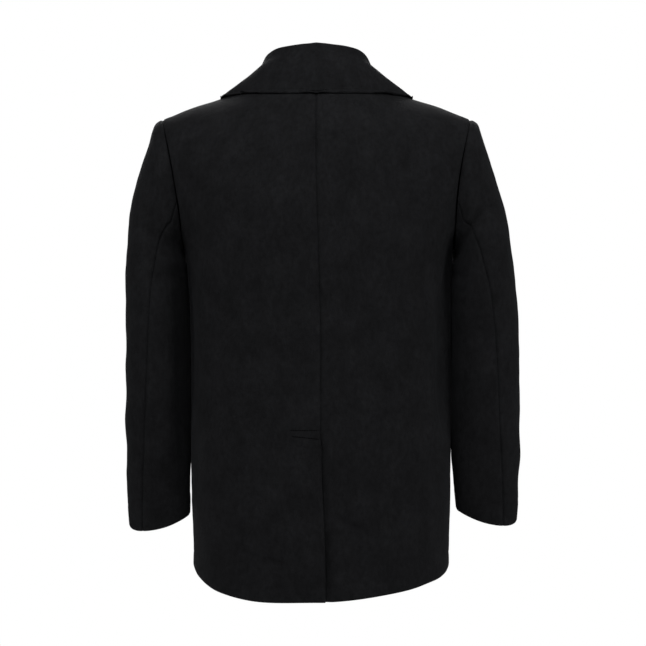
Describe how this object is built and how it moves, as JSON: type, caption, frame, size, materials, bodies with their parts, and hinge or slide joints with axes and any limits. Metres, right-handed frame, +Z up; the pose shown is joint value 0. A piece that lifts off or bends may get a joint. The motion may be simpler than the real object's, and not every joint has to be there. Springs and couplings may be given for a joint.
{
  "type": "pea coat",
  "caption": "Double-breasted wool pea coat as worn, hollow and open, with a wide rolled collar, lapels, two-piece sleeves and a back vent.",
  "frame": {"origin": "middle of the neck, level with the back collar seam, where the wearer's neck and shoulders hold the coat", "axes": "+Z up, the front faces -Y, the wearer's left is +X"},
  "size_m": [0.603, 0.3233, 0.8189],
  "materials": {
    "wool": "matt, felted black wool with a short nap",
    "button": "semi-gloss black"
  },
  "bodies": {
    "root": {"back_left": "wool", "back_right": "wool", "front_left": "wool", "front_right": "wool", "lapel_left": "wool", "lapel_right": "wool", "collar": "wool", "top_sleeve_left": "wool", "under_sleeve_left": "wool", "top_sleeve_right": "wool", "under_sleeve_right": "wool", "pocket_welt_left": "wool", "pocket_welt_right": "wool", "button_01": "button", "button_02": "button", "button_03": "button", "button_04": "button", "button_05": "button", "button_06": "button"}
  },
  "joints": []
}
